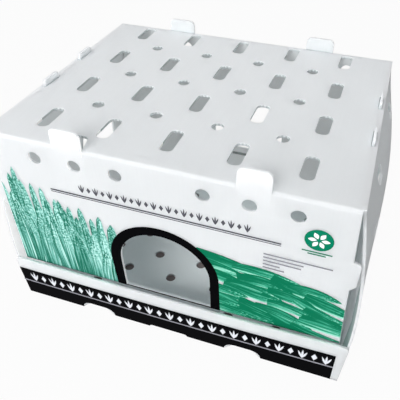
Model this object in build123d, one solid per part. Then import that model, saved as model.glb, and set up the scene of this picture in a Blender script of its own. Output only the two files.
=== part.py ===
from build123d import *
import math
import os

# Ventilated produce crate of fluted plastic sheet: a folded body and a hinged lid with a tuck-in front flap.
# Millimetres. X runs along the front, Y from front to back, Z up. The origin is the middle of the base.

# Sheet and clearances
sheet = 3.0
clear = 0.3
slit = 0.8

# Sides that a punched round hole or a rounded corner of a slot is cut with
hole_sides = 16
corner_sides = 3

# Overall sizes
lid_width = 400.0
crate_depth = 327.0
crate_height = 270.0
rim_height = 70.0

# Base and rim of the tray: how far they reach beyond the lid's sides, and how far they stand in from its front
base_spread = 16.0
rim_spread = 19.5
base_inset = 4.5
rim_inset = 2.6
rim_bow = 2.4
rim_corner_radius = 7.0
weld_height = 12.0

# End walls: how far their front and back edges reach beyond the lid's sides at each level, and their bellies there
crease_height = 150.0
shoulder_height = 205.0
crease_spread = 17.2
shoulder_spread = 9.3
end_top_inset = 0.5
crease_belly = 0.8
shoulder_belly = 10.8
top_dip = 3.0
end_front_setback = 9.0
lock_low_height = 158.0
lock_high_height = 205.0

# Tabs of the end walls that come up through the lid
end_tab_length = 28.0
end_tab_spread = 80.0
end_tab_rise = 7.5
end_tab_radius = 3.0
end_slot_side_gap = 0.7
end_slot_front_gap = 1.6
end_slot_back_gap = 0.7

# Stacking tabs
front_tab_width = 34.0
front_tab_rise = 21.0
front_tab_spread = 197.0
back_tab_width = 37.0
back_tab_rise = 17.0
back_tab_spread = 203.0
back_top_inset = 0.5
back_shoulder_drop = 3.3
tab_corner_radius = 7.0
tab_cut_depth = 27.0
tab_cut_taper = 6.0

# Front flap of the lid
flap_drop = 205.5
tongue_drop = 212.0
tongue_half = 70.0
tongue_slope = 6.0
flap_lean = 10.6
panel_top_inset = 3.0
panel_low_spread = 7.6
lock_reach = 6.0
lock_root = 8.0
lock_top = 67.0
lock_length = 42.0
lock_step = 2.0
lock_drop = 3.0
lock_rise = 8.0
lock_radius = 3.0
fold_radius = 3.5
hinge_step = 1.5

# Arched window
window_radius = 56.0
window_top = 98.0
window_sill = 203.0
window_shift = -4.0
window_corner = 3.0
back_window_shift = 6.0
back_window_top = 92.0
back_window_sill = 184.0

# Round vents in the flap and the back wall
vent_diameter = 15.4
vent_pitch = 47.4
vents_each_side = 3
vent_drop = 22.3

# Arched windows and vents of the end walls
end_window_radius = 49.0
end_window_spread = 137.0
end_window_top = 107.0
end_window_sill = 187.0
end_vent_length = 25.0
end_vent_width = 15.0
end_vent_radius = 6.0
end_vent_drop = 24.0
end_side_vent_spread = 208.0
end_side_vent_drop = 66.0

# Slots and holes of the lid
slot_length = 40.0
slot_width = 15.0
slot_radius = 6.0
slot_columns = 5
slot_rows = 4
slot_left_margin = 52.1
slot_right_margin = 59.1
slot_front_margin = 49.35
slot_back_margin = 28.35
hole_diameter = 14.0

# Staggered holes of the floor
floor_hole_diameter = 14.0
floor_side_margin = 51.0
floor_end_margin = 51.3
floor_rows = 7
floor_holes_per_row = 5
floor_shift_x = -4.0

# Notches along the bottom folds
notch_width = 48.0
notch_rise = 12.0
notch_slope = 11.0
notch_spread = 202.0
notch_shift = -5.0
notch_depth = 9.0
middle_notch_width = 53.0
middle_notch_rise = 3.2
notch_roundness = 0.8

front_y = -crate_depth / 2
back_y = crate_depth / 2
base_half = lid_width / 2 + base_spread
rim_half = lid_width / 2 + rim_spread
crease_half = lid_width / 2 + crease_spread
shoulder_half = lid_width / 2 + shoulder_spread
end_top_half = lid_width / 2 - end_top_inset
panel_top_half = lid_width / 2 - panel_top_inset
panel_low_half = lid_width / 2 + panel_low_spread
slot_pitch_x = (lid_width - slot_left_margin - slot_right_margin) / (slot_columns - 1)
slot_pitch_y = (crate_depth - slot_front_margin - slot_back_margin) / (slot_rows - 1)
floor_hole_pitch = (2 * base_half - 2 * floor_side_margin) / floor_holes_per_row
floor_row_pitch = (crate_depth - 2 * floor_end_margin) / (floor_rows - 1)
tab_face_half = end_top_half - top_dip
lid_underside = crate_height - sheet
wall_top = lid_underside - clear
hinge_y = back_y - sheet


def strip(height, line_y, half, bow, toward):
    """A slice of the low front or back wall: one sheet thick, its middle bowed outwards."""
    inner_y = line_y + toward * sheet
    if bow > 0:
        outer = ThreePointArc((-half, line_y, height), (0, line_y - toward * bow, height), (half, line_y, height))
        inner = ThreePointArc((half, inner_y, height), (0, inner_y - toward * bow, height), (-half, inner_y, height))
    else:
        outer = Line((-half, line_y, height), (half, line_y, height))
        inner = Line((half, inner_y, height), (-half, inner_y, height))
    sides = Line(outer @ 1, inner @ 0) + Line(inner @ 1, outer @ 0)
    return make_face(Wire([outer] + sides.edges() + [inner]))


def end_slice(height, half, belly, side):
    """A slice of an end wall: one sheet thick, bellied out between its front and back edges."""
    start, stop = front_y, back_y
    outer_x = side * half
    inner_x = side * (half - sheet)
    if belly != 0:
        outer = ThreePointArc((outer_x, start, height), (outer_x + side * belly, 0, height), (outer_x, stop, height))
        inner = ThreePointArc((inner_x, stop, height), (inner_x + side * belly, 0, height), (inner_x, start, height))
    else:
        outer = Line((outer_x, start, height), (outer_x, stop, height))
        inner = Line((inner_x, stop, height), (inner_x, start, height))
    sides = Line(outer @ 1, inner @ 0) + Line(inner @ 1, outer @ 0)
    return make_face(Wire([outer] + sides.edges() + [inner]))


def arch(radius, top, sill, corner):
    """Outline of an arched window, its x from the middle and its y measured up from the fold."""
    springing = -(top + radius)
    outline = Line((-radius, springing), (-radius, -sill))
    outline += Line((-radius, -sill), (radius, -sill))
    outline += Line((radius, -sill), (radius, springing))
    outline += ThreePointArc((radius, springing), (0, -top), (-radius, springing))
    face = make_face(outline)
    lower = face.vertices().sort_by(Axis.Y)[0:2]
    return fillet(lower, corner)


def punched_hole(diameter):
    """Outline of a punched round hole."""
    return RegularPolygon(diameter / 2, hole_sides)


def punched_slot(width, length, radius):
    """Outline of a punched slot with rounded corners."""
    points = []
    for corner in range(4):
        side_x = 1 if corner in (0, 3) else -1
        side_y = 1 if corner in (0, 1) else -1
        for step in range(corner_sides + 1):
            turn = math.radians(90 * (corner + step / corner_sides))
            x = side_x * (width / 2 - radius) + radius * math.cos(turn)
            y = side_y * (length / 2 - radius) + radius * math.sin(turn)
            points.append((x, y))
    return make_face(Polyline(*points, close=True))


def stacking_tab(width, rise, root):
    """Outline of a stand-up tab with rounded top corners, reaching below the fold by its root."""
    tab = Pos(0, (rise - root) / 2) * Rectangle(width, rise + root)
    upper = tab.vertices().sort_by(Axis.Y)[-2:]
    return fillet(upper, tab_corner_radius)


def flap_outline(drop):
    """Outline of the front flap: a widening panel with a lock tab on each side."""
    low_half = panel_top_half + (panel_low_half - panel_top_half) * drop / flap_drop
    outline = Polyline(
        (-panel_top_half, 0), (panel_top_half, 0), (low_half, -drop), (-low_half, -drop), close=True
    )
    panel = make_face(outline)
    edge_slope = (panel_low_half - panel_top_half) / flap_drop
    for side in (-1, 1):
        root_x = side * (panel_top_half - lock_root)
        near_x = side * (panel_top_half + edge_slope * lock_top + lock_step)
        tip_x = side * (panel_top_half + edge_slope * (lock_top + lock_length) + lock_reach)
        lock = make_face(
            Polyline(
                (root_x, -lock_top),
                (near_x, -lock_top),
                (tip_x, -lock_top - lock_drop),
                (tip_x, -lock_top - lock_length + lock_rise),
                (near_x, -lock_top - lock_length),
                (root_x, -lock_top - lock_length),
                close=True,
            )
        )
        tips = lock.vertices().sort_by(Axis.X)
        tips = tips[-2:] if side > 0 else tips[0:2]
        panel += fillet(tips, lock_radius)
    return panel


def vent_row():
    """The round vents under the fold, in two groups with the middle one left out."""
    steps = [step for step in range(-vents_each_side, vents_each_side + 1) if step != 0]
    return [Pos(step * vent_pitch, -vent_drop) * punched_hole(vent_diameter) for step in steps]


def low_wall(toward, inset, bow):
    """Low front or back wall of the tray, leaning out to its rim, with rounded top corners."""
    outer_y = front_y if toward > 0 else back_y
    base = strip(0, outer_y + toward * base_inset, base_half, 0, toward)
    rim = strip(rim_height, outer_y + toward * inset, rim_half, bow, toward)
    wall = loft([base, rim], ruled=True)
    corners = [edge for edge in wall.edges() if abs(edge.center().Z - rim_height) < 0.01 and edge.length < 2 * sheet]
    return fillet(corners, rim_corner_radius)


def end_wall(side):
    """End wall, creased at the rim and bellied above it, trimmed to the profile of its front and back edges."""
    lower = loft(
        [end_slice(0, base_half, 0, side), end_slice(rim_height, rim_half, 0, side)],
        ruled=True,
    )
    upper = loft(
        [
            end_slice(rim_height, rim_half, 0, side),
            end_slice(crease_height, crease_half, crease_belly, side),
            end_slice(shoulder_height, shoulder_half, shoulder_belly, side),
            end_slice(wall_top, end_top_half, -top_dip, side),
        ]
    )
    reach = max(base_half, rim_half, crease_half, shoulder_half) + shoulder_belly + sheet
    front_base = front_y + base_inset + sheet
    front_rim = front_y + rim_inset + sheet + slit
    back_base = back_y - base_inset - sheet
    back_panel_face = back_y - sheet - slit
    profile = Polyline(
        (front_base - sheet / 2, 0),
        (front_base - sheet / 2, weld_height),
        (front_base + slit, weld_height),
        (front_rim, rim_height),
        (front_y + end_front_setback, lock_low_height),
        (front_y + end_front_setback, wall_top),
        (back_panel_face, wall_top),
        (back_panel_face, lock_high_height),
        (back_panel_face + slit + sheet / 2, lock_high_height),
        (back_panel_face + slit + sheet / 2, lock_low_height),
        (back_panel_face, lock_low_height),
        (back_panel_face, rim_height),
        (back_base - slit, weld_height),
        (back_base + sheet / 2, weld_height),
        (back_base + sheet / 2, 0),
        close=True,
    )
    mask = extrude(Plane.YZ * make_face(profile), amount=reach + sheet, both=True)
    wall = (lower + upper) & mask
    middle = Plane(origin=(0, 0, crate_height), x_dir=(0, 1, 0), z_dir=(1, 0, 0))
    cuts = []
    for end in (-1, 1):
        window = Pos(end * end_window_spread / 2, 0) * arch(
            end_window_radius, end_window_top, end_window_sill, window_corner
        )
        vent = punched_slot(end_vent_length, end_vent_width, end_vent_radius)
        upper_vent = Pos(end * end_window_spread / 2, -end_vent_drop) * vent
        side_vent = Pos(end * end_side_vent_spread / 2, -end_side_vent_drop) * vent
        cuts += [window, upper_vent, side_vent]
    wall -= [extrude(middle * cut, amount=side * (reach + sheet)) for cut in cuts]
    for end in (-1, 1):
        tab_height = end_tab_rise + crate_height - wall_top
        tab = Pos(end * end_tab_spread / 2, (tab_height / 2) + wall_top - crate_height) * Rectangle(
            end_tab_length, tab_height
        )
        tab = fillet(tab.vertices().sort_by(Axis.Y)[-2:], end_tab_radius)
        outward = Plane(origin=(side * (tab_face_half - sheet), 0, crate_height), x_dir=(0, 1, 0), z_dir=(1, 0, 0))
        wall += extrude(outward * tab, amount=side * sheet)
    return wall


def back_panel():
    """Tall part of the back wall: a panel above the rim with a window, vents and two stacking tabs."""
    top_half = end_top_half - back_top_inset
    levels = [
        (top_half, -hinge_step),
        (top_half, -back_shoulder_drop),
        (shoulder_half, shoulder_height - crate_height),
        (crease_half, crease_height - crate_height),
        (rim_half, rim_height - crate_height),
    ]
    outline = make_face(Polyline(*levels, *[(-half, level) for half, level in reversed(levels)], close=True))
    outline -= Pos(back_window_shift, 0) * arch(window_radius, back_window_top, back_window_sill, window_corner)
    outline -= vent_row()
    for end in (-1, 1):
        outline += Pos(end * back_tab_spread / 2, 0) * stacking_tab(back_tab_width, back_tab_rise, 3 * hinge_step)
    upright = Plane(origin=(0, back_y, crate_height), x_dir=(1, 0, 0), z_dir=(0, -1, 0))
    return extrude(upright * outline, amount=sheet)


def floor():
    """Floor sheet between the walls, with staggered drain holes."""
    depth = crate_depth - 2 * base_inset
    sheet_face = Rectangle(2 * base_half, depth)
    first_row = -(floor_rows - 1) / 2 * floor_row_pitch
    for row in range(floor_rows):
        holes = floor_holes_per_row + row % 2
        first_hole = floor_shift_x - (holes - 1) / 2 * floor_hole_pitch
        for hole in range(holes):
            place = Pos(first_hole + hole * floor_hole_pitch, first_row + row * floor_row_pitch)
            sheet_face -= place * punched_hole(floor_hole_diameter)
    return extrude(sheet_face, amount=sheet)


def bottom_notch(width, rise, slope, toward):
    """A notch across a bottom fold, cut through the low wall and the edge of the floor."""
    half = width / 2
    outline = Polyline(
        (-half, -sheet), (-half, 0), (-half + slope, rise), (half - slope, rise), (half, 0), (half, -sheet), close=True
    )
    face = make_face(outline)
    upper = face.vertices().sort_by(Axis.Y)[-2:]
    face = fillet(upper, min(rise, slope) * notch_roundness)
    outer_y = front_y if toward > 0 else back_y
    start = Plane(origin=(0, outer_y - toward * sheet, 0), x_dir=(1, 0, 0), z_dir=(0, -1, 0))
    return extrude(start * face, amount=-toward * (sheet + base_inset + notch_depth))


def make_body():
    """The folded body: floor, low front wall, end walls and tall back wall in one piece."""
    body = floor() + low_wall(1, rim_inset, rim_bow) + low_wall(-1, 0, 0)
    for side in (-1, 1):
        body += end_wall(side)
    body += back_panel()
    for toward in (-1, 1):
        for end in (-1, 1):
            place = Pos(notch_shift + end * notch_spread / 2, 0)
            body -= place * bottom_notch(notch_width, notch_rise, notch_slope, toward)
        body -= Pos(notch_shift, 0) * bottom_notch(middle_notch_width, middle_notch_rise, middle_notch_rise, toward)
    return body


def lid_top():
    """Top panel of the lid with its slots, holes, slots for the end tabs and cut-outs behind the front tabs."""
    depth = hinge_y - clear - front_y - fold_radius
    middle_y = front_y + fold_radius + depth / 2
    face = Pos(0, middle_y) * Rectangle(lid_width, depth)
    for column in range(slot_columns):
        for row in range(slot_rows):
            x = slot_left_margin - lid_width / 2 + column * slot_pitch_x
            y = front_y + slot_front_margin + row * slot_pitch_y
            face -= Pos(x, y) * punched_slot(slot_width, slot_length, slot_radius)
            if column < slot_columns - 1 and row < slot_rows - 1:
                face -= Pos(x + slot_pitch_x / 2, y + slot_pitch_y / 2) * punched_hole(hole_diameter)
    for end in (-1, 1):
        for side in (-1, 1):
            width = sheet + 2 * end_slot_side_gap
            length = end_tab_length + end_slot_front_gap + end_slot_back_gap
            x = side * (tab_face_half - sheet / 2)
            y = end * end_tab_spread / 2 + (end_slot_back_gap - end_slot_front_gap) / 2
            face -= Pos(x, y) * Rectangle(width, length)
    return Pos(0, 0, lid_underside) * extrude(face, amount=sheet)


def front_fold():
    """The rounded fold between the top panel and the front flap."""
    run = 2 * fold_radius
    lean_sine = math.sin(math.atan2(flap_lean, flap_drop))
    lean_cosine = math.cos(math.atan2(flap_lean, flap_drop))
    inner_run = sheet * (1 + lean_sine) / lean_cosine
    outline = Polyline(
        (0, 0),
        (run, 0),
        (run, -sheet),
        (sheet * lean_cosine + inner_run * lean_sine, -sheet),
        (run * lean_sine + sheet * lean_cosine, -run * lean_cosine + sheet * lean_sine),
        (run * lean_sine, -run * lean_cosine),
        close=True,
    )
    section = make_face(outline)
    section = fillet(section.vertices().sort_by_distance((0, 0, 0))[0], fold_radius)
    side_on = Plane(origin=(0, front_y, crate_height), x_dir=(0, 1, 0), z_dir=(1, 0, 0))
    return extrude(side_on * section, amount=panel_top_half, both=True)


def front_flap():
    """Front flap, leaning in below the fold, with its window, vents, lock tabs and tuck-in tongue."""
    outline = flap_outline(flap_drop) - Rectangle(lid_width, 2 * fold_radius)
    tongue = make_face(
        Polyline(
            (-tongue_half, -flap_drop),
            (tongue_slope - tongue_half, -tongue_drop),
            (tongue_half - tongue_slope, -tongue_drop),
            (tongue_half, -flap_drop),
            close=True,
        )
    )
    outline += Pos(window_shift, 0) * tongue
    outline -= Pos(window_shift, 0) * arch(window_radius, window_top, window_sill, window_corner)
    outline -= vent_row()
    lean = math.degrees(math.atan2(flap_lean, flap_drop))
    hang = Plane(origin=(0, front_y, crate_height), x_dir=(1, 0, 0), z_dir=(0, -1, 0)).rotated((lean, 0, 0))
    return extrude(hang * outline, amount=-sheet)


def tab_cut_out():
    """The hole left in the top panel where a front stacking tab was folded up."""
    half = front_tab_width / 2
    outline = make_face(
        Polyline(
            (-half, sheet),
            (half, sheet),
            (half - tab_cut_taper, tab_cut_depth),
            (tab_cut_taper - half, tab_cut_depth),
            close=True,
        )
    )
    outline = fillet(outline.vertices().sort_by(Axis.Y)[-2:], tab_corner_radius)
    return Pos(0, front_y, lid_underside - sheet) * extrude(outline, amount=3 * sheet)


def make_lid():
    """The lid: top panel and front flap folded from one sheet, with two stacking tabs on the fold."""
    lid = lid_top() + front_fold() + front_flap()
    upright = Plane(origin=(0, front_y, crate_height), x_dir=(1, 0, 0), z_dir=(0, -1, 0))
    for end in (-1, 1):
        lid -= Pos(end * front_tab_spread / 2, 0, 0) * tab_cut_out()
        tab = Pos(end * front_tab_spread / 2, 0) * stacking_tab(front_tab_width, front_tab_rise, 2 * fold_radius)
        lid += extrude(upright * tab, amount=-sheet)
    return lid


os.makedirs("parts", exist_ok=True)
export_step(make_body(), "parts/box_body.step")
export_step(make_lid(), "parts/lid.step")
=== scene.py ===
"""Looks of the ventilated produce crate: sheet plastic with painted shade in the open flutes of its cut
walls, front print and the stage.
"""
import math
import random

import bmesh
import bpy
from mathutils import Matrix, Vector


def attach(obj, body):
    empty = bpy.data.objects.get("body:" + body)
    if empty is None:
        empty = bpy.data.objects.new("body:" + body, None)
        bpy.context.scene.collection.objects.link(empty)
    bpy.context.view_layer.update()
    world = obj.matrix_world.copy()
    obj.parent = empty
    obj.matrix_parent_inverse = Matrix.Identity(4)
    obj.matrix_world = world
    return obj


bl_info = {
    "name": "Produce crate",
    "version": (1, 0, 0),
    "blender": (4, 5, 0),
    "location": "3D View > Sidebar > Crate",
    "description": "Sheet plastic, front print and stage for a folding produce crate",
    "category": "Object",
}

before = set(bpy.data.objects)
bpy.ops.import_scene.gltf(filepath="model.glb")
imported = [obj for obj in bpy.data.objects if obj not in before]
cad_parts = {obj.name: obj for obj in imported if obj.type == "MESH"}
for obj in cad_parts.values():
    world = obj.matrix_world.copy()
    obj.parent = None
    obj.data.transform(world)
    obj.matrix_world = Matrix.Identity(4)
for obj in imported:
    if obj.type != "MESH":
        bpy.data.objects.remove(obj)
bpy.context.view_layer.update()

MM = 0.001

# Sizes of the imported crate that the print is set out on, in millimetres
FRONT_Y = -163.5
LID_HEIGHT = 270.0
LID_SHEET = 3.0
FLAP_DROP = 205.5
FLAP_LEAN = 10.6
FLAP_TOP_HALF = 197.0
FLAP_LOW_HALF = 207.6
WINDOW_X = -4.0
WINDOW_RADIUS = 56.0
WINDOW_TOP = 98.0
WINDOW_SILL = 203.0
WINDOW_SPRINGING = WINDOW_TOP + WINDOW_RADIUS
BASE_Y = -159.0
BASE_HALF = 216.0
RIM_Y = -160.9
RIM_HALF = 219.5
RIM_BOW = 2.4
RIM_HEIGHT = 70.0
BACK_CREASE_HEIGHT = 73.8
BACK_WINDOW_X = 6.0
NOTCH_X = -5.0
NOTCH_SPREAD = 202.0
NOTCH_WIDTH = 48.0
NOTCH_RISE = 12.0
NOTCH_SLOPE = 11.0
MIDDLE_NOTCH_WIDTH = 53.0
MIDDLE_NOTCH_RISE = 3.2

# Thickness of the ink and how far each layer's face stands off the sheet, in millimetres
INK = 0.1
THIN_INK = 0.08
FLAP_INK_LIFT = 0.2
BORDER_LIFT = 0.26
ROSETTE_LIFT = 0.3
LEAF_LIFT = 0.12
LEAF_LIFT_STEP = 0.0015
BAND_LIFT = 0.3
BAND_RULE_LIFT = 0.36
BAND_ORNAMENT_LIFT = 0.38

# Finish of the sheet and the ink
SHEET_IOR = 1.49
SHEET_SHINE = 0.05
INK_IOR = 1.5
INK_SHINE = 0.005
LEAF_SHINE = 0.02
INK_SPREAD = 0.12

# Share of a face's normal along an axis from which the face counts as square to that axis
SQUARE = 0.7

# Sockets of the Mix node when it mixes colours
MIX_SHARE = 0
MIX_FIRST = 6
MIX_SECOND = 7
MIX_RESULT = 2

WHITE = (1.0, 1.0, 1.0, 1.0)
NO_LIGHT = (0.0, 0.0, 0.0, 1.0)


# Settings


class CrateSheetSettings(bpy.types.PropertyGroup):
    """Colours and texture of the fluted sheet."""
    colour: bpy.props.FloatVectorProperty(
        name="Sheet colour", description="Colour of the plastic sheet", subtype="COLOR", size=3,
        min=0.0, max=1.0, default=(0.835, 0.862, 0.895),
    )
    # Painted light: a green cast laid on the faces that look inwards, for the dim light inside the crate
    painted_inner_cast: bpy.props.FloatVectorProperty(
        name="Inner tint", description="Tint of the faces that look inwards", subtype="COLOR", size=3,
        min=0.0, max=1.0, default=(0.94, 1.0, 0.985),
    )
    # Painted light: a lighter tone laid on the floor's upper face and on the left front edge
    floor: bpy.props.FloatVectorProperty(
        name="Floor", description="Tone of the crate's own floor and of its left front edge",
        subtype="COLOR", size=3, min=0.0, max=1.0, default=(0.95, 0.98, 0.98),
    )
    # Painted shade: a dark colour laid on the slots' cut walls, striped along the open flutes
    painted_cut_wall_shade: bpy.props.FloatVectorProperty(
        name="Cut edge", description="Shade of the open flutes in the slots' cut walls", subtype="COLOR",
        size=3, min=0.0, max=1.0, default=(0.30, 0.34, 0.35),
    )
    # Painted light: emission that makes the left front edge glow
    painted_edge_glow: bpy.props.FloatVectorProperty(
        name="Edge glow", description="Light that the sheet carries to its left front edge",
        subtype="COLOR", size=3, min=0.0, max=1.0, default=(0.27, 0.27, 0.27),
    )
    # Painted shade: a green-cast shade laid on the inside of the right front corner
    painted_corner_shade: bpy.props.FloatVectorProperty(
        name="Corner tint", description="Green cast that the print throws on the right front corner",
        subtype="COLOR", size=3, min=0.0, max=1.0, default=(0.20, 0.33, 0.28),
    )
    # Painted shadow: a dark line laid along the crease under the back wall's window
    crease_shadow: bpy.props.FloatVectorProperty(
        name="Crease", description="Colour in the crease of the back wall", subtype="COLOR", size=3,
        min=0.0, max=1.0, default=(0.07, 0.10, 0.10),
    )
    flute_pitch: bpy.props.FloatProperty(
        name="Flute pitch", description="Distance between the flutes", subtype="DISTANCE", unit="LENGTH",
        default=4.4 * MM, min=1.0 * MM, max=20.0 * MM,
    )
    flute_relief: bpy.props.FloatProperty(
        name="Flute relief", description="How far the flutes show through the skin", subtype="DISTANCE",
        unit="LENGTH", default=0.05 * MM, min=0.0, max=1.0 * MM,
    )


class CratePrintSettings(bpy.types.PropertyGroup):
    """Colours and sizes of the print."""
    black: bpy.props.FloatVectorProperty(
        name="Black ink", description="Colour of the band and the window border", subtype="COLOR", size=3,
        min=0.0, max=1.0, default=(0.0015, 0.0015, 0.002),
    )
    reed_dark: bpy.props.FloatVectorProperty(
        name="Reed shade", description="Shaded parts of the reeds", subtype="COLOR", size=3,
        min=0.0, max=1.0, default=(0.012, 0.13, 0.085),
    )
    reed_mid: bpy.props.FloatVectorProperty(
        name="Reed green", description="Main colour of the reeds", subtype="COLOR", size=3,
        min=0.0, max=1.0, default=(0.115, 0.36, 0.30),
    )
    reed_light: bpy.props.FloatVectorProperty(
        name="Reed highlight", description="Highlights of the reeds", subtype="COLOR", size=3,
        min=0.0, max=1.0, default=(0.40, 0.68, 0.63),
    )
    leaf_dark: bpy.props.FloatVectorProperty(
        name="Leaf shade", description="Shaded parts of the broad leaves", subtype="COLOR", size=3,
        min=0.0, max=1.0, default=(0.002, 0.135, 0.066),
    )
    leaf_mid: bpy.props.FloatVectorProperty(
        name="Leaf green", description="Main colour of the broad leaves", subtype="COLOR", size=3,
        min=0.0, max=1.0, default=(0.038, 0.32, 0.20),
    )
    leaf_light: bpy.props.FloatVectorProperty(
        name="Leaf highlight", description="Highlights of the broad leaves", subtype="COLOR", size=3,
        min=0.0, max=1.0, default=(0.28, 0.64, 0.51),
    )
    rule_gray: bpy.props.FloatVectorProperty(
        name="Rule gray", description="Colour of the double rule", subtype="COLOR", size=3,
        min=0.0, max=1.0, default=(0.07, 0.07, 0.085),
    )
    ornament_gray: bpy.props.FloatVectorProperty(
        name="Ornament gray", description="Colour of the ornament row of the flap", subtype="COLOR", size=3,
        min=0.0, max=1.0, default=(0.08, 0.08, 0.095),
    )
    line_gray: bpy.props.FloatVectorProperty(
        name="Line gray", description="Colour of the thin lines", subtype="COLOR", size=3,
        min=0.0, max=1.0, default=(0.19, 0.19, 0.22),
    )
    round_green: bpy.props.FloatVectorProperty(
        name="Round green", description="Colour of the round behind the rosette", subtype="COLOR", size=3,
        min=0.0, max=1.0, default=(0.003, 0.16, 0.085),
    )
    rosette_white: bpy.props.FloatVectorProperty(
        name="Rosette white", description="Colour of the rosette", subtype="COLOR", size=3,
        min=0.0, max=1.0, default=(0.78, 0.80, 0.83),
    )
    band_gray: bpy.props.FloatVectorProperty(
        name="Band gray", description="Colour of the rule across the band", subtype="COLOR", size=3,
        min=0.0, max=1.0, default=(0.24, 0.24, 0.27),
    )
    band_white: bpy.props.FloatVectorProperty(
        name="Band white", description="Colour of the band's ornaments", subtype="COLOR", size=3,
        min=0.0, max=1.0, default=(0.62, 0.64, 0.68),
    )
    border: bpy.props.FloatProperty(
        name="Window border", description="Width of the black border round the window", subtype="DISTANCE",
        unit="LENGTH", default=12.0 * MM, min=2.0 * MM, max=30.0 * MM,
    )
    band_height: bpy.props.FloatProperty(
        name="Band height", description="Height of the black band on the low wall", subtype="DISTANCE",
        unit="LENGTH", default=50.5 * MM, min=20.0 * MM, max=65.0 * MM,
    )


class CrateStageSettings(bpy.types.PropertyGroup):
    """Lights of the stage."""
    key_power: bpy.props.FloatProperty(
        name="Key light", description="Power of the soft key light", subtype="POWER", unit="POWER",
        default=92.0, min=0.0, max=500.0,
    )
    top_power: bpy.props.FloatProperty(
        name="Top light", description="Power of the soft light above", subtype="POWER", unit="POWER",
        default=22.0, min=0.0, max=500.0,
    )
    ambient: bpy.props.FloatProperty(
        name="Ambient", description="Strength of the room light", default=0.36, min=0.0, max=2.0,
    )


# Shader maths


class Value:
    """A socket in a node tree. Arithmetic on it adds Math nodes."""

    def __init__(self, nodes, socket):
        self.nodes = nodes
        self.socket = socket

    def math(self, operation, *others, clamp=False):
        """Adds a Math node that takes this value first."""
        inputs = dict(enumerate((self,) + others))
        return self.nodes.add("ShaderNodeMath", {"operation": operation, "use_clamp": clamp}, inputs)

    def reflected(self, operation, other):
        """Adds a Math node that takes this value second."""
        return self.nodes.add("ShaderNodeMath", {"operation": operation}, {0: other, 1: self})

    def __add__(self, other):
        return self.math("ADD", other)

    __radd__ = __add__

    def __sub__(self, other):
        return self.math("SUBTRACT", other)

    def __rsub__(self, other):
        return self.reflected("SUBTRACT", other)

    def __mul__(self, other):
        return self.math("MULTIPLY", other)

    __rmul__ = __mul__

    def __truediv__(self, other):
        return self.math("DIVIDE", other)

    def __rtruediv__(self, other):
        return self.reflected("DIVIDE", other)

    def __lt__(self, other):
        return self.math("LESS_THAN", other)

    def __gt__(self, other):
        return self.math("GREATER_THAN", other)

    def __abs__(self):
        return self.math("ABSOLUTE")

    def sine(self):
        return self.math("SINE")

    def power(self, other):
        return self.math("POWER", other)

    def clamped(self):
        return self.math("ADD", 0.0, clamp=True)


class Nodes:
    """A node tree under construction."""

    def __init__(self, tree):
        self.tree = tree
        self.tree.nodes.clear()

    def feed(self, socket, value):
        """Sets a socket to a number or colour, or links a value to it."""
        if isinstance(value, Value):
            self.tree.links.new(value.socket, socket)
        else:
            socket.default_value = value

    def make(self, kind, settings=None, inputs=None):
        """Adds a node, sets it up, then sets or links its sockets."""
        node = self.tree.nodes.new(kind)
        for key, value in (settings or {}).items():
            if key == "stops":
                ramp = node.color_ramp
                while len(ramp.elements) < len(value):
                    ramp.elements.new(0.5)
                for element, (position, colour) in zip(ramp.elements, value):
                    element.position = position
                    element.color = colour
            else:
                setattr(node, key, value)
        for key, value in (inputs or {}).items():
            self.feed(node.inputs[key], value)
        return node

    def add(self, kind, settings=None, inputs=None, output=0):
        """Adds a node and gives one of its outputs as a value."""
        return Value(self, self.make(kind, settings, inputs).outputs[output])

    def axes(self, vector):
        """The three numbers of a vector."""
        node = self.make("ShaderNodeSeparateXYZ", None, {0: vector})
        return [Value(self, socket) for socket in node.outputs]

    def straight_view(self):
        """1 for camera, glossy and transmission rays, and 0 for every other ray."""
        path = self.make("ShaderNodeLightPath")
        camera = Value(self, path.outputs["Is Camera Ray"])
        glossy = Value(self, path.outputs["Is Glossy Ray"])
        through = Value(self, path.outputs["Is Transmission Ray"])
        return (camera + glossy + through).clamped()


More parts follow.
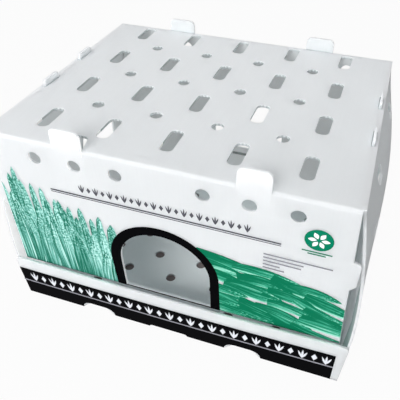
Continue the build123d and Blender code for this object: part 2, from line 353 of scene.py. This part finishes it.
class Shade(Nodes):
    """One material under construction."""

    def __init__(self, name, constants):
        self.material = bpy.data.materials.new(name)
        self.material.use_nodes = True
        super().__init__(self.material.node_tree)
        self.shader = self.make("ShaderNodeBsdfPrincipled", None, constants)
        self.output = self.make("ShaderNodeOutputMaterial", None, {0: Value(self, self.shader.outputs[0])})

    def give(self, socket, value):
        """Sets or links one of the shader's own sockets."""
        self.feed(self.shader.inputs[socket], value)

    def mix(self, share, first, second, blend="MIX"):
        """Colour between two colours."""
        inputs = {MIX_SHARE: share, MIX_FIRST: first, MIX_SECOND: second}
        return self.add("ShaderNodeMix", {"data_type": "RGBA", "blend_type": blend}, inputs, MIX_RESULT)

    def tinted(self, share, base, tint):
        """A colour multiplied by a tint."""
        return self.mix(share, base, tint, "MULTIPLY")

    def place(self):
        """Place on the piece, in millimetres."""
        spot = self.add("ShaderNodeTexCoord", output="Object")
        return self.add("ShaderNodeVectorMath", {"operation": "SCALE"}, {0: spot, "Scale": 1 / MM})

    def facing(self):
        """Direction that the surface faces, in the piece's own axes."""
        return self.add("ShaderNodeTexCoord", output="Normal")

    def clouds(self, spot, detail):
        """Noise around 0.5 with about one patch to a unit of its place."""
        inputs = {"Vector": spot, "Scale": 1.0, "Detail": detail}
        return self.add("ShaderNodeTexNoise", {"noise_dimensions": "3D"}, inputs)

    def noise(self, spot, scale, detail=2.0, stretch=(1.0, 1.0, 1.0)):
        """Noise around 0.5; scale counts patches per millimetre."""
        factors = tuple(scale * part for part in stretch)
        moved = self.add("ShaderNodeVectorMath", {"operation": "MULTIPLY"}, {0: spot, 1: factors})
        return self.clouds(moved, detail)

    def cover(self, share, kind, inputs):
        """Lays a second shader over the first where the share is 1."""
        first = Value(self, self.shader.outputs[0])
        second = self.add(kind, None, inputs)
        mixed = self.add("ShaderNodeMixShader", None, {0: share, 1: first, 2: second})
        self.feed(self.output.inputs[0], mixed)

    def bump(self, height, distance, strength):
        """Links a height to the shader's normal."""
        inputs = {"Strength": strength, "Distance": distance, "Height": height}
        self.give("Normal", self.add("ShaderNodeBump", None, inputs))


def rgba(colour):
    """A colour with full cover."""
    return (colour[0], colour[1], colour[2], 1.0)


def scaled(colour, factor):
    """A colour made lighter or darker, with full cover."""
    return rgba([min(1.0, part * factor) for part in colour])


# Finishes


def sheet_plastic(name, settings):
    """White polypropylene whose flutes show faintly through its skins."""
    shade = Shade(name, {
        "IOR": SHEET_IOR,
        "Specular IOR Level": SHEET_SHINE,
        "Subsurface Weight": 0.8,
        "Subsurface Scale": 0.04,
        "Subsurface Radius": (1.0, 1.0, 1.0),
        # Emission for the painted glow of the left front edge
        "Emission Strength": 1.0,
    })
    spot = shade.place()
    place = shade.axes(spot)
    facing = shade.axes(shade.facing())
    ribs = flutes(place, facing, settings.flute_pitch / MM)
    grain = shade.noise(spot, scale=0.9, detail=3.0)
    shade.bump(ribs.power(3.0) * 0.7 + grain * 0.5, settings.flute_relief, strength=0.5)
    inside = looks_inwards(place, facing)
    base = skin_colour(shade, spot, ribs, settings.colour)
    # Painted light: the inward faces take a green cast
    base = shade.tinted(inside, base, rgba(settings.painted_inner_cast))
    # Painted shade on the slots' cut walls, striped along the flutes
    flute_shade = 0.35 + 0.4 * ribs
    base = shade.mix(slot_walls(place, facing) * flute_shade, base, rgba(settings.painted_cut_wall_shade))
    base = front_edges(shade, place, facing, inside, base, settings)
    # Painted shadow line in the crease of the back wall
    base = shade.mix(painted_crease_shadow(place, facing), base, rgba(settings.crease_shadow))
    shade.give("Base Color", base)
    rough = shade.noise(spot, scale=0.05, detail=3.0) * 0.2 + 0.56
    shade.give("Roughness", rough)
    # Painted light: the floor's upper face is shown lighter than the rest of the sheet
    panel = {
        "Base Color": shade.mix(0.8, base, rgba(settings.floor)),
        "Roughness": rough,
        "Specular IOR Level": SHEET_SHINE,
    }
    shade.cover(floor_panel(place, facing), "ShaderNodeBsdfPrincipled", panel)
    return shade.material


def flutes(place, facing, pitch):
    """Waves between 0 and 1 across the flutes, which lie level on the end walls."""
    end_wall = abs(facing[0]) > SQUARE
    across = place[0] * (1 - end_wall) + place[2] * end_wall
    return (across * (2 * math.pi / pitch)).sine() * 0.5 + 0.5


def skin_colour(shade, spot, ribs, colour):
    """The sheet's colour with soft clouds, fine streaks and a faint shade on the ribs."""
    cloud = shade.noise(spot, scale=0.012, detail=3.0)
    streak = shade.noise(spot, scale=0.25, detail=1.0, stretch=(1.0, 0.04, 0.04))
    tone = (cloud * 0.7 + streak * 0.3).clamped()
    base = shade.mix(tone, scaled(colour, 0.965), scaled(colour, 1.03))
    return shade.mix(ribs.power(6.0) * 0.05, base, scaled(colour, 0.9))


def looks_inwards(place, facing):
    """1 on the faces that look towards the middle of the crate."""
    x, y, z = place
    nx, ny, nz = facing
    return (nx * x + ny * y + nz * (z - LID_HEIGHT / 2)) < 0.0


def slot_walls(place, facing):
    """1 on the cut walls of the slots and holes in the lid's top panel."""
    margin = 0.2
    half_wide = 190.0
    half_deep = 152.0
    level_share = 0.5
    x, y, z = place
    upright = abs(facing[2]) < level_share
    in_panel = (z > LID_HEIGHT - LID_SHEET - margin) * (z < LID_HEIGHT - margin)
    return upright * in_panel * (abs(x) < half_wide) * (abs(y) < half_deep)


def front_edges(shade, place, facing, inside, base, settings):
    """Paints light on the left end wall's front edge as a glow and a lighter tone, and paints a green-cast
    shade on the right one, mostly near its foot.
    """
    front_zone = -120.0
    shadow_top = 170.0
    shadow_height = 90.0
    near_front = inside * (place[1] < front_zone)
    left = near_front * (facing[0] > SQUARE)
    # Painted light: the left front edge glows and takes a lighter tone
    shade.give("Emission Color", shade.mix(left, NO_LIGHT, rgba(settings.painted_edge_glow)))
    base = shade.mix(left, base, rgba(settings.floor))
    # Painted shade on the right front edge, darker towards its foot
    shadow = ((shadow_top - place[2]) / shadow_height).clamped() * 0.35 + 0.45
    right = near_front * (facing[0] < -SQUARE)
    return shade.tinted(right * shadow, base, rgba(settings.painted_corner_shade))


def painted_crease_shadow(place, facing):
    """1 where a painted shadow line lies along the crease under the back wall's window, on the inner face.
    """
    half_high = 2.4
    half_long = WINDOW_RADIUS + 6.0
    back_zone = 150.0
    x, y, z = place
    line = (abs(z - BACK_CREASE_HEIGHT) < half_high) * (abs(x - BACK_WINDOW_X) < half_long)
    return line * (facing[1] < -SQUARE) * (y > back_zone)


def floor_panel(place, facing):
    """1 on the upper face of the crate's floor."""
    floor_top = 4.0
    return (place[2] < floor_top) * (facing[2] > SQUARE)


def ink(name, colour):
    """Printing ink: a colour with slight unevenness and a satin face."""
    shade = Shade(name, {"IOR": INK_IOR, "Specular IOR Level": INK_SHINE})
    spot = shade.place()
    patch = shade.noise(spot, scale=0.35, detail=4.0)
    darker = scaled(colour, 1 - INK_SPREAD)
    lighter = scaled(colour, 1 + INK_SPREAD)
    shade.give("Base Color", shade.mix(patch, darker, lighter))
    shade.give("Roughness", shade.noise(spot, scale=0.08) * 0.16 + 0.3)
    return shade.material


def leaf_ink(name, dark, mid, light):
    """Green printing ink whose streaks, specks and shades follow each leaf."""
    shade = Shade(name, {"IOR": INK_IOR, "Specular IOR Level": LEAF_SHINE})
    reading = shade.add("ShaderNodeAttribute", {"attribute_name": "leaf"}, output="Color")
    across, along, tone = shade.axes(reading)
    bundle = {0: across * 6.5 + tone * 37.0, 1: along * 1.6, 2: tone * 19.0}
    streak = shade.clouds(shade.add("ShaderNodeCombineXYZ", None, bundle), detail=3.0)
    speck = shade.noise(shade.place(), scale=0.42)
    rim = abs(across * 2.0 - 1.0).power(6.0)
    foot = (1 - along).power(5.0)
    tip = ((along - 0.5) * 3.0).clamped()
    lit_side = ((across - 0.84) * 6.0).clamped()
    speck_strength = tip * 2.6 + 0.3
    level = tone - 0.06 + (across - 0.5) * 0.5 + (streak - 0.5) * 2.8 + (speck - 0.5) * speck_strength
    level = level - rim * 0.4 - foot * 0.4 - tip * 0.06 + lit_side * 0.75
    stops = [(0.0, rgba(dark)), (0.5, rgba(mid)), (1.0, rgba(light))]
    shade.give("Base Color", shade.add("ShaderNodeValToRGB", {"stops": stops}, {0: level.clamped()}))
    shade.give("Roughness", speck * 0.15 + 0.42)
    return shade.material


# Meshes


def new_piece(name, bm, material, body):
    """Turns a bmesh in millimetres into a piece that rides on a body."""
    for vertex in bm.verts:
        vertex.co *= MM
    mesh = bpy.data.meshes.new(name)
    bm.to_mesh(mesh)
    bm.free()
    mesh.materials.append(material)
    piece = bpy.data.objects.new(name, mesh)
    bpy.context.scene.collection.objects.link(piece)
    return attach(piece, body)


def on_flap(x, drop, lift):
    """A point on the outer face of the front flap, by its drop below the fold."""
    lean = math.atan2(FLAP_LEAN, FLAP_DROP)
    return Vector((
        x,
        FRONT_Y + drop * math.sin(lean) - lift * math.cos(lean),
        LID_HEIGHT - drop * math.cos(lean) - lift * math.sin(lean),
    ))


def on_low_wall(x, height, lift):
    """A point on the outer face of the low front wall, by its height."""
    share = height / RIM_HEIGHT
    across = x / (BASE_HALF + (RIM_HALF - BASE_HALF) * share)
    rim_y = RIM_Y - RIM_BOW * (1 - across * across)
    return Vector((x, BASE_Y + (rim_y - BASE_Y) * share - lift, height))


def cut_straight(bm, point, normal, clear_outer=False):
    """Cuts a flat mesh along a line, and drops what lies beyond it where that is asked for."""
    everything = bm.verts[:] + bm.edges[:] + bm.faces[:]
    bmesh.ops.bisect_plane(bm, geom=everything, plane_co=point, plane_no=normal, clear_outer=clear_outer)


def printed_patch(bm, outline, carry, lift, thickness=INK, cell=0.0):
    """Adds a thin printed patch: a flat outline, cut into cells where asked for, laid on a face by carry."""
    flat = bmesh.new()
    corners = [flat.verts.new((x, y, 0)) for x, y in outline]
    flat.faces.new(corners)
    if cell > 0:
        for axis in (0, 1):
            low = min(corner[axis] for corner in outline)
            high = max(corner[axis] for corner in outline)
            for step in range(1, int((high - low) / cell) + 1):
                cut = [0.0, 0.0, 0.0]
                normal = [0.0, 0.0, 0.0]
                cut[axis] = low + step * cell
                normal[axis] = 1.0
                cut_straight(flat, cut, normal)
    bmesh.ops.triangulate(flat, faces=[face for face in flat.faces if len(face.verts) > 4])
    made = {}
    for vertex in flat.verts:
        made[vertex] = (
            bm.verts.new(carry(vertex.co.x, vertex.co.y, lift)),
            bm.verts.new(carry(vertex.co.x, vertex.co.y, lift - thickness)),
        )
    for face in flat.faces:
        bm.faces.new([made[vertex][0] for vertex in face.verts])
        bm.faces.new([made[vertex][1] for vertex in reversed(face.verts)])
    for edge in flat.edges:
        if edge.is_boundary:
            first, second = edge.verts
            if edge.link_loops[0].vert != first:
                first, second = second, first
            bm.faces.new((made[second][0], made[first][0], made[first][1], made[second][1]))
    flat.free()


def oriented(bm):
    """Makes every face look outwards."""
    bmesh.ops.recalc_face_normals(bm, faces=bm.faces[:])
    return bm


def arc(centre, radius, start, stop, steps):
    """Points along an arc, in degrees."""
    points = []
    for step in range(steps + 1):
        turn = math.radians(start + (stop - start) * step / steps)
        points.append((centre[0] + radius * math.cos(turn), centre[1] + radius * math.sin(turn)))
    return points


def slim_leaf(bm, foot, tip, stroke, carry, lift, steps=6, thickness=THIN_INK):
    """Adds a flat pointed leaf between two points."""
    run = Vector(tip) - Vector(foot)
    side = Vector((-run.y, run.x)).normalized() * stroke / 2
    points = []
    for direction, shares in ((1, range(steps + 1)), (-1, range(steps - 1, 0, -1))):
        for share in shares:
            swell = math.sin(math.pi * share / steps)
            point = Vector(foot) + run * share / steps + side * direction * swell
            points.append((point.x, point.y))
    printed_patch(bm, points, carry, lift, thickness)


def sprig(bm, x, foot, reach, spread, stroke, carry, lift):
    """Adds three slim leaves that rise from one foot."""
    side_share = 0.82
    for lean, share in ((-spread, side_share), (0.0, 1.0), (spread, side_share)):
        slim_leaf(bm, (x, foot), (x + lean, foot + reach * share), stroke, carry, lift)


def lozenge(bm, x, y, half_wide, half_high, carry, lift):
    """Adds a small lozenge."""
    corners = [(x - half_wide, y), (x, y - half_high), (x + half_wide, y), (x, y + half_high)]
    printed_patch(bm, corners, carry, lift, THIN_INK)


def leaf(bm, layer, base, tip, bow, width, lift, tone, blunt):
    """Adds one leaf or blade: a pointed shape along a bowed line, with place and tone kept as a colour."""
    long_steps = 22
    wide_steps = 4
    foot_share = 0.22
    tip_half = 0.05
    run = Vector((tip[0] - base[0], tip[1] - base[1]))
    side = Vector((-run.y, run.x)).normalized()
    rows = []
    for step in range(long_steps + 1):
        along = step / long_steps
        middle = Vector(base) + run * along + side * bow * math.sin(math.pi * along)
        slope = (run + side * bow * math.pi * math.cos(math.pi * along)).normalized()
        normal = Vector((-slope.y, slope.x))
        swell = math.sin(math.pi * min(1.0, foot_share + (1 - foot_share) * along)) ** blunt
        half = max(tip_half, width / 2 * swell)
        row = []
        for column in range(wide_steps + 1):
            across = column / wide_steps
            point = middle + normal * half * (2 * across - 1)
            vertex = bm.verts.new((point.x, point.y, lift))
            vertex[layer] = (across, along, tone, 1.0)
            row.append(vertex)
        rows.append(row)
    for lower, upper in zip(rows, rows[1:]):
        for column in range(wide_steps):
            bm.faces.new((lower[column], lower[column + 1], upper[column + 1], upper[column]))


# Operators


class CRATE_OT_sheet(bpy.types.Operator):
    """Give the body and the lid their fluted white plastic"""
    bl_idname = "crate.sheet"
    bl_label = "Sheet plastic"

    def execute(self, context):
        for name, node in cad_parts.items():
            node.data.materials.clear()
            node.data.materials.append(sheet_plastic(name + "_plastic", context.scene.crate_sheet))
        return {"FINISHED"}


class CRATE_OT_window_border(bpy.types.Operator):
    """Print the black border round the arched window of the flap"""
    bl_idname = "crate.window_border"
    bl_label = "Window border"

    def execute(self, context):
        settings = context.scene.crate_print
        edge_gap = 0.1
        foot_height = 2.2
        crown_shift = -1.0
        weld = 0.001
        inner = WINDOW_RADIUS + edge_gap
        outer = WINDOW_RADIUS + settings.border / MM
        foot = WINDOW_SILL + foot_height
        sill = WINDOW_SILL + edge_gap
        inside = self.arch_line(inner, 0.0, foot)
        outside = self.arch_line(outer, crown_shift, foot)
        bm = bmesh.new()
        for step in range(len(inside) - 1):
            quad = [inside[step], inside[step + 1], outside[step + 1], outside[step]]
            printed_patch(bm, quad, on_flap, BORDER_LIFT)
        left = WINDOW_X - inner
        right = WINDOW_X + inner
        printed_patch(bm, [(left, sill), (right, sill), (right, foot), (left, foot)], on_flap, BORDER_LIFT)
        bmesh.ops.remove_doubles(bm, verts=bm.verts[:], dist=weld)
        new_piece("window_border", oriented(bm), ink("black_border_ink", settings.black), "lid")
        return {"FINISHED"}

    def arch_line(self, reach, shift, foot):
        """One edge of the border, from its left foot over its crown to its right foot."""
        steps = 32
        crown = arc((WINDOW_X + shift, WINDOW_SPRINGING), reach, 180, 0, steps)
        crown = [(x, 2 * WINDOW_SPRINGING - drop) for x, drop in crown]
        return [(WINDOW_X - reach, foot)] + crown + [(WINDOW_X + reach, foot)]


class CRATE_OT_leaves(bpy.types.Operator):
    """Print reeds on the left and broad leaves on the right of the flap"""
    bl_idname = "crate.leaves"
    bl_label = "Leaf print"

    def execute(self, context):
        settings = context.scene.crate_print
        reed = leaf_ink("reed_ink", settings.reed_dark, settings.reed_mid, settings.reed_light)
        broad = leaf_ink("broad_leaf_ink", settings.leaf_dark, settings.leaf_mid, settings.leaf_light)
        self.print_field("reed_print", self.reeds, reed, -1)
        self.print_field("broad_leaf_print", self.broad_leaves, broad, 1)
        return {"FINISHED"}

    def print_field(self, name, grow, material, side):
        """Grows one field of leaves flat, trims it to the flap and the border, and lays it on the flap."""
        side_margin = 0.4
        foot_margin = 1.0
        border_overlap = 2.5
        bm = bmesh.new()
        layer = bm.verts.layers.float_color.new("leaf")
        grow(bm, layer)
        slope = (FLAP_LOW_HALF - FLAP_TOP_HALF) / FLAP_DROP
        cut_straight(bm, (side * (FLAP_TOP_HALF - side_margin), 0, 0), (side, -slope, 0), True)
        cut_straight(bm, (WINDOW_X, 0, 0), (-side, 0, 0), True)
        cut_straight(bm, (0, FLAP_DROP - foot_margin, 0), (0, 1, 0), True)
        inner = []
        for vertex in bm.verts:
            rise = max(0.0, WINDOW_SPRINGING - vertex.co.y)
            if math.hypot(vertex.co.x - WINDOW_X, rise) < WINDOW_RADIUS + border_overlap:
                inner.append(vertex)
        bmesh.ops.delete(bm, geom=inner, context="VERTS")
        for vertex in bm.verts:
            vertex.co = on_flap(vertex.co.x, vertex.co.y, vertex.co.z)
        for face in bm.faces:
            face.normal_update()
            if face.normal.y > 0:
                face.normal_flip()
        new_piece(name, bm, material, "lid")

    def reeds(self, bm, layer):
        """Upright pointed reeds in staggered ranks, with one tall reed near the left edge."""
        dice = random.Random(4)
        left = -214
        reach = 160
        count = 13
        foot = 214
        crest_top = 60
        crest_start = -190
        crest_slope = 0.32
        tall_reed = (1, 2)
        tall_crest = 42
        blunt = 0.36
        number = 0
        for rank, rank_drop in enumerate((0, 13, 29, 48)):
            for step in range(count):
                x = left + reach * (step + 0.5 * (rank % 2)) / count + dice.uniform(-3, 3)
                crest = crest_top + crest_slope * max(0.0, x - crest_start) + rank_drop
                crest += dice.uniform(-9, 10)
                if (rank, step) == tall_reed:
                    crest = tall_crest
                tone = 0.5 + dice.uniform(-0.2, 0.24)
                tip = (x + dice.uniform(-5, 6), crest)
                bow = dice.uniform(-3, 3)
                width = dice.uniform(12, 15)
                number += 1
                lift = LEAF_LIFT + LEAF_LIFT_STEP * number
                leaf(bm, layer, (x, foot), tip, bow, width, lift, tone, blunt)

    def broad_leaves(self, bm, layer):
        """Broad leaves that lie in rows and point to the lower right."""
        dice = random.Random(11)
        row_count = 10
        row_pitch = 10.5
        first_drop = 110
        first_x = 57
        fall = 0.2
        droop = 11
        blunt = 0.6
        number = 0
        for row in range(row_count):
            for start in (38, 78, 118, 152):
                x = start + dice.uniform(-12, 12)
                drop = first_drop + fall * (x - first_x) + row_pitch * row + dice.uniform(-4, 4)
                reach = dice.uniform(58, 84)
                angle = math.radians(droop + dice.uniform(-8, 8))
                tip = (x + reach * math.cos(angle), drop + reach * math.sin(angle))
                bow = dice.uniform(-6, 6)
                width = dice.uniform(14, 19)
                tone = 0.22 + dice.uniform(-0.12, 0.34)
                number += 1
                lift = LEAF_LIFT + LEAF_LIFT_STEP * number
                leaf(bm, layer, (x, drop), tip, bow, width, lift, tone, blunt)


class CRATE_OT_rules(bpy.types.Operator):
    """Print the double rule, the ornament row above it, the thin lines and the rosette of the flap"""
    bl_idname = "crate.rules"
    bl_label = "Rules and ornaments"

    def execute(self, context):
        settings = context.scene.crate_print
        self.double_rule(settings)
        self.ornament_row(settings)
        self.thin_lines(settings)
        self.rosette(settings)
        return {"FINISHED"}

    def double_rule(self, settings):
        """A thick and a thin rule that fall a little to the right."""
        left = -133
        right = 129
        fall = 1.2
        bm = bmesh.new()
        for top, height in ((61.9, 1.9), (65.2, 1.0)):
            corners = [(left, top), (right, top + fall), (right, top + fall + height), (left, top + height)]
            printed_patch(bm, corners, on_flap, FLAP_INK_LIFT)
        new_piece("double_rule", oriented(bm), ink("gray_ink", settings.rule_gray), "lid")

    def ornament_row(self, settings):
        """Sprigs and lozenges in turn above the double rule."""
        count = 23
        left = -92
        reach = 186
        first_foot = 58.0
        fall = 0.8
        sprig_reach = -12.0
        sprig_spread = 3.4
        stroke = 1.7
        lozenge_rise = 5.5
        lozenge_half_wide = 2.4
        lozenge_half_high = 4.0
        bm = bmesh.new()
        for number in range(count):
            x = left + reach * number / (count - 1)
            foot = first_foot + fall * number / (count - 1)
            if number % 2 == 0:
                sprig(bm, x, foot, sprig_reach, sprig_spread, stroke, on_flap, FLAP_INK_LIFT)
            else:
                middle = foot - lozenge_rise
                lozenge(bm, x, middle, lozenge_half_wide, lozenge_half_high, on_flap, FLAP_INK_LIFT)
        gray = ink("gray_ornament_ink", settings.ornament_gray)
        new_piece("ornament_row", oriented(bm), gray, "lid")

    def thin_lines(self, settings):
        """Five thin lines of unlike lengths under the rosette's left side."""
        left = 112
        first_top = 83.0
        pitch = 5.2
        height = 1.8
        fall = 0.4
        bm = bmesh.new()
        for number, length in enumerate((71, 42, 40, 18, 23)):
            right = left + length
            top = first_top + pitch * number
            corners = [(left, top), (right, top + fall), (right, top + fall + height), (left, top + height)]
            printed_patch(bm, corners, on_flap, FLAP_INK_LIFT)
        new_piece("thin_lines", oriented(bm), ink("pale_gray_ink", settings.line_gray), "lid")

    def rosette(self, settings):
        """A plain green round with a white rosette of six petals, over two short bars."""
        centre = (164.5, 47.0)
        round_radius = 14.2
        round_corners = 24
        bar_height = 1.6
        petal_count = 6
        petal_start = 2.2
        petal_end = 10.8
        petal_width = 4.6
        petal_steps = 8
        bm = bmesh.new()
        disc = arc(centre, round_radius, 0, 360 - 360 / round_corners, round_corners - 1)
        printed_patch(bm, disc, on_flap, FLAP_INK_LIFT)
        for top, half in ((63.4, 15.0), (66.6, 9.0)):
            left = centre[0] - half
            right = centre[0] + half
            low = top + bar_height
            printed_patch(bm, [(left, top), (right, top), (right, low), (left, low)], on_flap, FLAP_INK_LIFT)
        green = ink("green_round_ink", settings.round_green)
        new_piece("green_round", oriented(bm), green, "lid")
        petals = bmesh.new()
        for number in range(petal_count):
            turn = 2 * math.pi * number / petal_count
            out = Vector((math.cos(turn), math.sin(turn)))
            foot = Vector(centre) + out * petal_start
            tip = Vector(centre) + out * petal_end
            slim_leaf(petals, foot, tip, petal_width, on_flap, ROSETTE_LIFT, petal_steps, INK)
        white = ink("white_ink", settings.rosette_white)
        new_piece("white_rosette", oriented(petals), white, "lid")


class CRATE_OT_band(bpy.types.Operator):
    """Print the black band with its rule and white ornaments on the low wall"""
    bl_idname = "crate.band"
    bl_label = "Low wall band"

    top_left = -218.5
    foot_left = -215.2
    right = 207.3
    low = 0.3
    cell = 12.0

    def execute(self, context):
        settings = context.scene.crate_print
        self.band(settings)
        self.rule(settings)
        self.ornaments(settings)
        return {"FINISHED"}

    def band(self, settings):
        """The black field, cut out round the notches of the bottom fold."""
        high = settings.band_height / MM
        outline = [(self.top_left, high), (self.foot_left, self.low)]
        for place, width, rise, slope in self.notches():
            left = place - width / 2
            right = place + width / 2
            outline += [(left, self.low)]
            outline += self.shoulder(left, left + slope, rise)
            outline += self.shoulder(right, right - slope, rise)[::-1]
            outline += [(right, self.low)]
        outline += [(self.right, self.low), (self.right, high)]
        bm = bmesh.new()
        printed_patch(bm, outline, on_low_wall, BAND_LIFT, INK, self.cell)
        new_piece("black_band", oriented(bm), ink("black_band_ink", settings.black), "body")

    def rule(self, settings):
        """One gray rule along the band, a little higher at its right end."""
        start = 24.6
        height = 2.3
        rise = 0.8
        left_foot = -218.0
        left_top = -218.4
        corners = [
            (left_foot, start), (self.right, start + rise),
            (self.right, start + height + rise), (left_top, start + height),
        ]
        bm = bmesh.new()
        printed_patch(bm, corners, on_low_wall, BAND_RULE_LIFT, THIN_INK, self.cell)
        new_piece("band_rule", oriented(bm), ink("band_rule_ink", settings.band_gray), "body")

    def notches(self):
        """Place, width, height and slope of each notch, from left to right."""
        left = (NOTCH_X - NOTCH_SPREAD / 2, NOTCH_WIDTH, NOTCH_RISE, NOTCH_SLOPE)
        middle = (NOTCH_X, MIDDLE_NOTCH_WIDTH, MIDDLE_NOTCH_RISE, MIDDLE_NOTCH_RISE)
        right = (NOTCH_X + NOTCH_SPREAD / 2, NOTCH_WIDTH, NOTCH_RISE, NOTCH_SLOPE)
        return [left, middle, right]

    def shoulder(self, foot, head, rise):
        """Points of a notch's slanted side, rounded at its head."""
        steps = 6
        step_angle = 15
        swing = 1.25
        margin = 0.4
        points = []
        for step in range(steps + 1):
            turn = math.radians(step_angle * step)
            x = foot + (head - foot) * (1 - math.cos(turn)) * swing
            points.append((x, self.low + (rise + margin - self.low) * math.sin(turn)))
        return points

    def ornaments(self, settings):
        """A row of white sprigs and lozenges in turn."""
        count = 29
        left = -198
        reach = 396
        sprig_foot = 28.5
        sprig_reach = 17.5
        sprig_spread = 5.6
        stroke = 2.7
        lozenge_middle = 37.0
        lozenge_half_wide = 3.6
        lozenge_half_high = 6.6
        lift = BAND_ORNAMENT_LIFT
        bm = bmesh.new()
        for number in range(count):
            x = left + reach * number / (count - 1)
            if number % 2 == 0:
                sprig(bm, x, sprig_foot, sprig_reach, sprig_spread, stroke, on_low_wall, lift)
            else:
                lozenge(bm, x, lozenge_middle, lozenge_half_wide, lozenge_half_high, on_low_wall, lift)
        white = ink("band_white_ink", settings.band_white)
        new_piece("band_ornaments", oriented(bm), white, "body")


class CRATE_OT_stage(bpy.types.Operator):
    """Set up the floor, the lights, the room and the camera"""
    bl_idname = "crate.stage"
    bl_label = "Stage"

    def execute(self, context):
        settings = context.scene.crate_stage
        self.floor()
        self.lamp("key_light", (-0.3, -2.4, 1.3), settings.key_power)
        self.lamp("top_light", (0.2, 0.5, 2.3), settings.top_power)
        self.room(context, settings.ambient)
        self.camera(context)
        return {"FINISHED"}

    def floor(self):
        """A wide round floor: white to straight views, gray to soft light, with painted shadow under the
        crate.
        """
        drop = 0.0004
        bm = bmesh.new()
        bmesh.ops.create_circle(bm, cap_ends=True, segments=64, radius=4.0)
        for vertex in bm.verts:
            vertex.co.z = -drop
        mesh = bpy.data.meshes.new("floor")
        bm.to_mesh(mesh)
        bm.free()
        mesh.materials.append(self.floor_paint())
        floor = bpy.data.objects.new("floor", mesh)
        bpy.context.scene.collection.objects.link(floor)

    def floor_paint(self):
        """Gray paint that shows white to straight views, apart from the ground under the crate, which is
        painted dark as shadow.
        """
        half_wide = 214.0
        half_deep = 135.0
        glow_share = 0.95
        dark_paint = (0.40, 0.40, 0.40, 1.0)
        light_paint = (0.43, 0.43, 0.43, 1.0)
        painted_shadow_under_crate = (0.20, 0.17, 0.165, 1.0)
        shade = Shade("floor_paint", {"Roughness": 0.9, "Specular IOR Level": 0.1})
        spot = shade.place()
        place = shade.axes(spot)
        under = (abs(place[0]) < half_wide) * (abs(place[1]) < half_deep)
        base = shade.mix(shade.noise(spot, scale=0.01), dark_paint, light_paint)
        # Painted shadow: the ground under the crate takes a dark colour
        shade.give("Base Color", shade.mix(under, base, painted_shadow_under_crate))
        share = shade.straight_view() * (1 - under) * glow_share
        shade.cover(share, "ShaderNodeEmission", {"Color": WHITE, "Strength": 1.0})
        return shade.material

    def lamp(self, name, place, power):
        """A square soft light aimed at the crate."""
        crate_middle = (0.0, 0.0, 0.14)
        light = bpy.data.lights.new(name, "AREA")
        light.shape = "SQUARE"
        light.size = 1.8
        light.energy = power
        lamp = bpy.data.objects.new(name, light)
        aim = Vector(crate_middle) - Vector(place)
        lamp.matrix_world = Matrix.Translation(place) @ aim.to_track_quat("-Z", "Y").to_matrix().to_4x4()
        bpy.context.scene.collection.objects.link(lamp)

    def room(self, context, ambient):
        """Soft light, stronger from the left than from the right; straight views see white."""
        left_share = 1.75
        right_share = 0.15
        soft_colour = (0.985, 0.99, 1.0, 1.0)
        world = bpy.data.worlds.new("room")
        world.use_nodes = True
        nodes = Nodes(world.node_tree)
        direction = nodes.axes(nodes.add("ShaderNodeTexCoord", output="Generated"))
        strength = nodes.add("ShaderNodeMapRange", None, {
            "Value": direction[0], "From Min": -1.0, "From Max": 1.0,
            "To Min": ambient * left_share, "To Max": ambient * right_share,
        })
        soft = nodes.add("ShaderNodeBackground", None, {"Color": soft_colour, "Strength": strength})
        white = nodes.add("ShaderNodeBackground", None, {"Color": WHITE, "Strength": 1.0})
        mixed = nodes.add("ShaderNodeMixShader", None, {0: nodes.straight_view(), 1: soft, 2: white})
        nodes.make("ShaderNodeOutputWorld", None, {0: mixed})
        context.scene.world = world

    def camera(self, context):
        """The photograph's camera."""
        lens = bpy.data.cameras.new("camera")
        lens.sensor_width = 36.0
        lens.lens = 45.27
        lens.shift_x = -0.05
        lens.clip_end = 50.0
        camera = bpy.data.objects.new("camera", lens)
        camera.matrix_world = Matrix((
            (0.94779, -0.21118, 0.23895, 0.18110),
            (0.31877, 0.60680, -0.72813, -0.51442),
            (0.00877, 0.76629, 0.64244, 0.55768),
            (0.0, 0.0, 0.0, 1.0),
        ))
        context.scene.collection.objects.link(camera)
        context.scene.camera = camera
        context.scene.view_settings.view_transform = "Standard"


class CRATE_PT_panel(bpy.types.Panel):
    """Crate tools"""
    bl_label = "Produce crate"
    bl_idname = "CRATE_PT_panel"
    bl_space_type = "VIEW_3D"
    bl_region_type = "UI"
    bl_category = "Crate"

    def draw(self, context):
        layout = self.layout
        for group in GROUPS:
            settings = getattr(context.scene, group)
            box = layout.box()
            for name in settings.__annotations__:
                box.prop(settings, name)
        for operator in OPERATORS:
            layout.operator(operator.bl_idname)


OPERATORS = (
    CRATE_OT_sheet,
    CRATE_OT_window_border,
    CRATE_OT_leaves,
    CRATE_OT_rules,
    CRATE_OT_band,
    CRATE_OT_stage,
)
GROUPS = {
    "crate_sheet": CrateSheetSettings,
    "crate_print": CratePrintSettings,
    "crate_stage": CrateStageSettings,
}


def register():
    """Registers the settings, the operators and the panel."""
    for name, group in GROUPS.items():
        bpy.utils.register_class(group)
        setattr(bpy.types.Scene, name, bpy.props.PointerProperty(type=group))
    for operator in OPERATORS:
        bpy.utils.register_class(operator)
    bpy.utils.register_class(CRATE_PT_panel)


def unregister():
    """Takes them out again."""
    bpy.utils.unregister_class(CRATE_PT_panel)
    for operator in reversed(OPERATORS):
        bpy.utils.unregister_class(operator)
    for name, group in GROUPS.items():
        delattr(bpy.types.Scene, name)
        bpy.utils.unregister_class(group)


def main():
    """Builds every piece in order."""
    register()
    bpy.ops.crate.sheet()
    bpy.ops.crate.window_border()
    bpy.ops.crate.leaves()
    bpy.ops.crate.rules()
    bpy.ops.crate.band()
    bpy.ops.crate.stage()
    bpy.context.view_layer.update()


if __name__ == "__main__":
    main()
